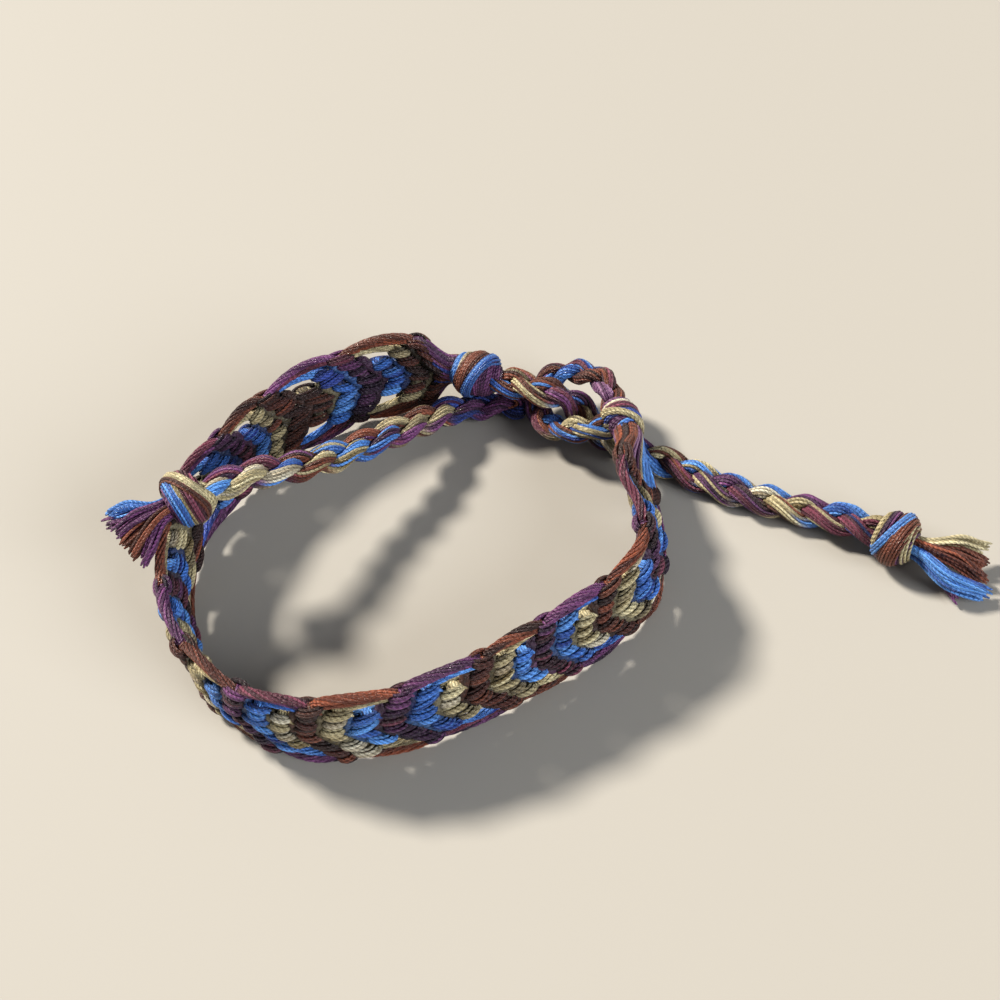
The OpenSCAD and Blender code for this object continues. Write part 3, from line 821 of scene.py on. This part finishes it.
# The knots: overhand knots that gather all the strings at both ends of the band and near the
# ends of the ties. Each is a core, darkened as painted shade, with straps of several threads wound
# over it.
START_KNOT_LEN = 4.4
END_KNOT_LEN = 5.0
TAIL_KNOT_R = 2.9
TAIL_KNOT_LEN = 3.8
RIGHT_KNOT_Z = TAIL_KNOT_R + 0.05
MOUTH_R = 1.8
LEFT_KNOT_Z = BAND_W + MOUTH_R + 2 * GAP
NECK_SHARE = 0.75
# A strap's strings: radius, step, how deep they lie, how the strap is crowned, and the painted
# shade that darkens its edges
STRAP_R = 0.175
STRAP_STEP = 0.27
STRAP_SINK = 0.42
STRAP_CROWN = 0.24
UNDER_CROWN = 0.2
STRAP_EDGE_PAINTED_SHADE = 1.4
# Columns: where the strap's ring stands along the knot, how far it tilts (shares of the knot's
# length), the angle at which it is furthest along, its width, its dye and how far it stands out
START_STRAPS = [
    (0.42, 0.03, 0, 1.0, "mauve", 0.0), (0.30, 0.05, 0, 0.4, "cream", 0.05),
    (0.12, 0.08, 10, 1.5, "wine", 0.1), (-0.08, 0.12, 10, 1.1, "navy", 0.12),
    (-0.42, 0.05, 180, 0.9, "blue", 0.0), (-0.14, 0.36, 0, 1.15, "straw", 0.34)]
END_STRAPS = [
    (-0.42, 0.03, 20, 1.2, "blue", 0.05), (-0.26, 0.04, 20, 0.5, "cream", 0.0),
    (-0.08, 0.18, 20, 1.9, "brown", 0.2), (0.36, 0.16, 120, 2.0, "plum", 0.0),
    (0.13, 0.29, 45, 1.3, "blue", 0.45)]
LEFT_STRAPS = [
    (-0.43, 0.03, 60, 0.7, "wine", 0.0), (0.42, 0.02, 60, 0.7, "plum", 0.0),
    (0.27, 0.03, 60, 1.1, "blue", 0.28), (0.06, 0.05, 60, 0.8, "straw", 0.2),
    (-0.17, 0.06, 30, 1.4, "wine", 0.34), (0.02, 0.40, 175, 0.8, "brown", 0.5),
    (-0.18, 0.40, 175, 1.1, "straw", 0.55)]
RIGHT_STRAPS = [
    (-0.43, 0.03, 60, 0.8, "straw", 0.1), (-0.27, 0.06, 60, 0.8, "plum", 0.1),
    (0.42, 0.05, 200, 0.8, "straw", 0.12), (0.12, 0.12, 50, 2.0, "brown", 0.25),
    (-0.15, 0.32, 45, 0.8, "blue", 0.36)]


def knot(name, centre, heading, radius, long, straps):
    """One knot, its axis level and along the heading, in degrees."""
    turn = math.radians(heading)
    ahead = np.array([math.cos(turn), math.sin(turn), 0])
    left = np.array([-ahead[1], ahead[0], 0])
    floss = Floss()
    a = np.linspace(0, 2 * math.pi, 40) - math.pi / 2

    def barrel(x):
        """Radius of the knot at a place along it."""
        bulge = np.clip(1 - np.abs(2 * x / long) ** 2.4, 0, 1) ** 0.5
        return MOUTH_R * NECK_SHARE + (radius - MOUTH_R * NECK_SHARE) * bulge

    core = np.linspace(-0.5, 0.5, 9) * long
    # The core: darkened to 0.4, painted shade between the straps
    floss.thread([centre + core[:, None] * ahead], [barrel(core) * 0.9 - 0.3], [(0, 0, 1)],
                 [plain("plum", len(core), 0.7, 0.4)], sides=16)
    under = [(0.0, 0.05, 60, long * 0.96, "plum", -0.14)]
    for middle, tilt, most, width, dye, lift in under + straps:
        strings = max(2, round(width / STRAP_STEP))
        paths, shades = [], []
        for j in range(strings):
            o = (j + 0.5) / strings - 0.5
            x = middle + tilt * np.cos(a - math.radians(most))
            lean = -tilt * np.sin(a - math.radians(most)) * long
            x = x * long + o * width * radius / np.hypot(radius, lean)
            ends = np.sin((a + math.pi / 2) / 2) ** 0.4
            r = barrel(np.clip(x, -long * 0.49, long * 0.49)) - STRAP_SINK
            crown = STRAP_CROWN * (1 - 4 * o * o) if lift >= 0 else UNDER_CROWN
            r = r + (lift + crown) * ends + 0.03 * np.sin(a * 3 + j * 2.1)
            path = centre + x[:, None] * ahead
            path = path + (r * np.cos(a))[:, None] * left + (r * np.sin(a))[:, None] * (0, 0, 1)
            paths.append(path)
            # Painted shade: a strap's edge strings are darker, for the grooves between straps
            shades.append(plain(dye, len(a)) * (1 - STRAP_EDGE_PAINTED_SHADE * o * o))
        floss.thread(paths, STRAP_R, [ahead], shades)
    lay(name, floss.mesh(name), floss_look, name[6:])


def tie_end(rows):
    """Where a tie ends, seen from above, and its heading there in degrees."""
    curve = smooth([(x * HALF_W, y * HALF_D, 0) for x, y, _ in rows])
    step = curve[-1] - curve[-2]
    return curve[-1], math.degrees(math.atan2(step[1], step[0]))


def past_end(rows, far, z):
    """A point past the end of a tie, in line with it, at a height."""
    end, heading = tie_end(rows)
    turn = math.radians(heading)
    return end + np.array([far * math.cos(turn), far * math.sin(turn), z])


START_KNOT_AT = np.array([HALF_W, 0.375 * HALF_D, START_KNOT_Z])
START_KNOT_HEADING = 98
END_KNOT_AT = np.array([0.43 * HALF_W, 0.865 * HALF_D, END_KNOT_Z])
END_KNOT_HEADING = -30
TAIL_KNOT_FAR = 2 * GAP + TAIL_KNOT_LEN / 2
knot("floss_start_knot", START_KNOT_AT, START_KNOT_HEADING, START_KNOT_R, START_KNOT_LEN,
     START_STRAPS)
knot("floss_end_knot", END_KNOT_AT, END_KNOT_HEADING, END_KNOT_R, END_KNOT_LEN,
     END_STRAPS)
knot("floss_right_tail_knot", past_end(RIGHT_TIE_ROUTE, TAIL_KNOT_FAR, RIGHT_KNOT_Z),
     tie_end(RIGHT_TIE_ROUTE)[1], TAIL_KNOT_R, TAIL_KNOT_LEN, RIGHT_STRAPS)
knot("floss_left_tail_knot", past_end(LEFT_TIE_ROUTE, TAIL_KNOT_FAR, LEFT_KNOT_Z),
     tie_end(LEFT_TIE_ROUTE)[1], TAIL_KNOT_R, TAIL_KNOT_LEN, LEFT_STRAPS)

# The tassels: the cut ends of all the strings past the tail knots, loose and a little wavy.
# They come out of each knot in locks of one dye, spread, and sag to the table or over the band.
LOCK_R = 0.75
LOCK_STRINGS = 22
LOCK_THREAD_R = 0.16
RIGHT_FRINGE = 9.0
LEFT_FRINGE = 6.0
TASSEL_HEAD = 1.0
TASSEL_ROOT = -1.2
# The right fringe's blue lock bows away from the others, and no string goes below the table
BLUE_BOW = 1.1
LOWEST = 0.3
# Columns: where a lock starts, sideways and up in lock radii, then where it ends, along, sideways
# and up, as shares of the fringe, and its dye
RIGHT_LOCKS = [
    (0.9, 0.8, 0.66, 0.45, -0.10, "straw"), (0.9, -0.2, 0.72, 0.30, -0.18, "brown"),
    (0.0, 0.9, 0.80, 0.12, -0.20, "rust"), (-0.9, 0.4, 0.88, -0.03, -0.21, "blue"),
    (-0.9, -0.5, 0.84, -0.07, -0.22, "blue"), (0.1, -0.7, 0.62, -0.22, -0.23, "plum")]
LEFT_LOCKS = [
    (-1.0, 0.6, 0.88, -0.52, 0.02, "blue"), (-0.5, -0.4, 0.98, -0.42, -0.06, "plum"),
    (-0.2, 0.9, 0.97, -0.20, -0.12, "plum"), (0.4, -0.5, 0.94, 0.02, -0.22, "brown"),
    (0.9, 0.6, 0.90, 0.24, -0.30, "brown"), (1.0, -0.3, 0.80, 0.44, -0.38, "plum")]


def tassel(name, rows, z, locks, fringe):
    """The loose ends past one tail knot."""
    _, heading = tie_end(rows)
    turn = math.radians(heading)
    ahead = np.array([math.cos(turn), math.sin(turn), 0])
    axes = np.array([ahead, (-ahead[1], ahead[0], 0), (0, 0, 1)])
    start = past_end(rows, TAIL_KNOT_LEN + 3 * GAP, z)
    floss = Floss()
    paths, shades = [], []
    for y0, z0, x1, y1, z1, dye in locks:
        for j in range(LOCK_STRINGS):
            a, r = chance.uniform(0, 2 * math.pi), LOCK_R * math.sqrt(chance.uniform(0, 0.9))
            splay = np.array([0, math.cos(a), math.sin(a)]) * r
            root = np.array([TASSEL_ROOT, y0 * LOCK_R * 0.8, z0 * LOCK_R * 0.8]) + splay * 0.7
            head = np.array([TASSEL_HEAD, y0 * LOCK_R, z0 * LOCK_R]) + splay * 0.8
            tip = np.array([x1, y1, z1]) * fringe * chance.normal(1, 0.04) + splay * 0.9
            bend = (head + tip) / 2 + (0, (tip[1] - head[1]) * 0.06, fringe * 0.05) + splay * 0.3
            if fringe == RIGHT_FRINGE and dye == "blue":
                bend[1] -= BLUE_BOW
            path = smooth([root, head, bend, tip], 8)
            t = np.linspace(0, 1, len(path))
            wave = 0.13 * t * np.sin(t * chance.uniform(7, 13) + chance.uniform(0, 6))
            path[:, 1] += wave
            path[:, 2] += 0.6 * wave * np.sin(j)
            path = start + path @ axes
            path[:, 2] = np.maximum(path[:, 2], LOWEST)
            paths.append(path)
            shades.append(plain(dye, len(path)))
    floss.thread(paths, LOCK_THREAD_R, [(0, 0.05, 1)], shades)
    lay(name, floss.mesh(name), floss_look, name[6:])


tassel("floss_right_tassel", RIGHT_TIE_ROUTE, RIGHT_KNOT_Z, RIGHT_LOCKS, RIGHT_FRINGE)
tassel("floss_left_tassel", LEFT_TIE_ROUTE, LEFT_KNOT_Z, LEFT_LOCKS, LEFT_FRINGE)
